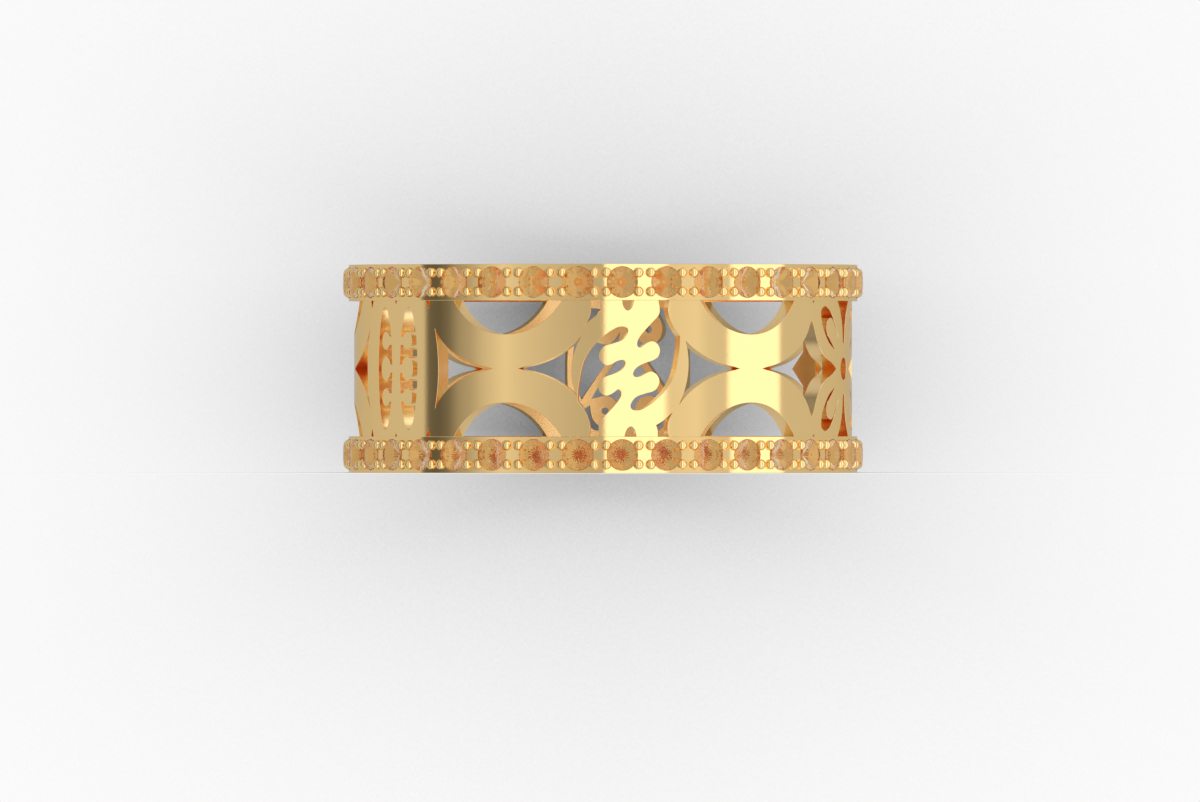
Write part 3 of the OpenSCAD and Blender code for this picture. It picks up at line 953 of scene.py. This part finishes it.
def strip_of_floor(name, near, far, reach):
    """A level sheet from one distance behind the finger axis to another."""
    piece = sheet(name, [(-1, near, 0), (1, near, 0), (1, far, 0), (-1, far, 0)], FLOOR_LEVEL, reach)
    piece.visible_glossy = False


# where the floor starts and the wall stands, in metres behind the finger axis
FLOOR_Y = -0.022
WALL_Y = 0.0117
# how far off a thing still darkens a sheet
WIDE = 0.2
CLOSE = 0.02
strip_of_floor("floor", FLOOR_Y, WALL_Y, WIDE)
strip_of_floor("floor_behind", WALL_Y, 1, CLOSE)
sheet("wall", [(-1, WALL_Y, -1), (1, WALL_Y, -1), (1, WALL_Y, 1), (-1, WALL_Y, 1)], WALL_LEVEL, WIDE)
print("wall stands", round(WALL_Y * 1000, 1), "mm behind the finger axis")

# %% [markdown]
# ## Studio dome
# Lamps and cards could be placed round the ring one by one. A dome whose brightness changes with the angle
# round the ring does the same with one table, and a stretch of the band shows the dome at twice its own
# angle. Light for rough surfaces and light inside the stones is calmer, so they don't get hard patches.

# %% Studio dome
# compass angle from the camera side, and how bright the dome is there
DOME = [
    (-180, 0.66), (-92, 0.66), (-89, 0.16), (-82, 0.13), (-76, 0.2), (-70, 0.4),
    (-64, 0.48), (-58, 0.65), (-46, 0.88), (-40, 0.78), (-28, 0.69), (-16, 0.62),
    (-3, 0.56), (0, 0.56), (1, 1.6), (28, 1.6), (30, 0.84), (44, 0.93),
    (50, 0.79), (59, 0.74), (61, 1.6), (89, 1.6), (91, 0.66), (180, 0.66),
]
# how bright the dome is for rough surfaces, and the even light that it is mixed with inside the stones
SOFT_LEVEL = 1.15
STONE_LEVEL = 0.72
STONE_CALM = 0.8


def plain_light(nodes, level):
    light = nodes.new("ShaderNodeBackground")
    light.inputs["Color"].default_value = (level, level, level, 1)
    return light


def studio_dome():
    world = bpy.data.worlds.new("studio")
    bpy.context.scene.world = world
    world.use_nodes = True
    nodes = world.node_tree.nodes
    links = world.node_tree.links
    coord = nodes.new("ShaderNodeTexCoord")
    split = nodes.new("ShaderNodeSeparateXYZ")
    flip = nodes.new("ShaderNodeMath")
    flip.operation = "MULTIPLY"
    flip.inputs[1].default_value = -1
    turn = nodes.new("ShaderNodeMath")
    turn.operation = "ARCTAN2"
    unit = nodes.new("ShaderNodeMapRange")
    unit.inputs["From Min"].default_value = -math.pi
    unit.inputs["From Max"].default_value = math.pi
    ramp = nodes.new("ShaderNodeValToRGB")
    links.new(coord.outputs["Generated"], split.inputs[0])
    links.new(split.outputs["Y"], flip.inputs[0])
    links.new(split.outputs["X"], turn.inputs[0])
    links.new(flip.outputs[0], turn.inputs[1])
    links.new(turn.outputs[0], unit.inputs["Value"])
    links.new(unit.outputs["Result"], ramp.inputs["Fac"])
    stops = ramp.color_ramp.elements
    for i, (angle, level) in enumerate(DOME):
        place = (angle + 180) / 360
        stop = stops[0] if i == 0 else stops.new(place)
        stop.position = place
        stop.color = (level, level, level, 1)
    nodes.remove(nodes["Background"])
    rays = nodes.new("ShaderNodeLightPath")
    seen = plain_light(nodes, FLOOR_LEVEL)
    soft = plain_light(nodes, SOFT_LEVEL)
    dome = nodes.new("ShaderNodeBackground")
    links.new(ramp.outputs["Color"], dome.inputs["Color"])
    spread = nodes.new("ShaderNodeMixShader")
    links.new(rays.outputs["Is Diffuse Ray"], spread.inputs["Fac"])
    links.new(dome.outputs["Background"], spread.inputs[1])
    links.new(soft.outputs["Background"], spread.inputs[2])
    calm = nodes.new("ShaderNodeMix")
    calm.data_type = "RGBA"
    calm.inputs["Factor"].default_value = STONE_CALM
    calm.inputs["B"].default_value = (STONE_LEVEL, STONE_LEVEL, STONE_LEVEL, 1)
    links.new(ramp.outputs["Color"], calm.inputs["A"])
    inside = nodes.new("ShaderNodeBackground")
    links.new(calm.outputs["Result"], inside.inputs["Color"])
    through = nodes.new("ShaderNodeMixShader")
    links.new(rays.outputs["Is Transmission Ray"], through.inputs["Fac"])
    links.new(spread.outputs["Shader"], through.inputs[1])
    links.new(inside.outputs["Background"], through.inputs[2])
    pick = nodes.new("ShaderNodeMixShader")
    links.new(rays.outputs["Is Camera Ray"], pick.inputs["Fac"])
    links.new(through.outputs["Shader"], pick.inputs[1])
    links.new(seen.outputs["Background"], pick.inputs[2])
    links.new(pick.outputs["Shader"], nodes["World Output"].inputs["Surface"])


studio_dome()
bpy.context.scene.view_settings.view_transform = "Standard"

# %% [markdown]
# ## Camera
# The picture is taken from straight in front with a very long lens, level and a little above the floor, so
# that both rails look alike and the rims show as straight lines. A close camera would show the inside of one
# rim. The lens follows from the distance and from how wide a stretch the picture covers.

# %% Camera
# the picture is 1200 pixels wide, and one millimetre of the ring is about 23.5 of them
FRAME_W = 1200 / 23.46
# the camera's place, in metres: sideways, in front of the finger axis and above the floor
CAMERA_X = -0.000131
CAMERA_AWAY = 1.2
CAMERA_Z = 0.00305
SENSOR_W = 36
camera = bpy.data.objects.new("camera", bpy.data.cameras.new("camera"))
camera.data.sensor_width = SENSOR_W
camera.data.lens = SENSOR_W * CAMERA_AWAY / MM / FRAME_W
camera.location = (CAMERA_X, -CAMERA_AWAY, CAMERA_Z)
camera.rotation_euler = (math.radians(90), 0, 0)
bpy.context.scene.collection.objects.link(camera)
bpy.context.scene.camera = camera
print("lens", round(camera.data.lens), "mm")

# %% Close
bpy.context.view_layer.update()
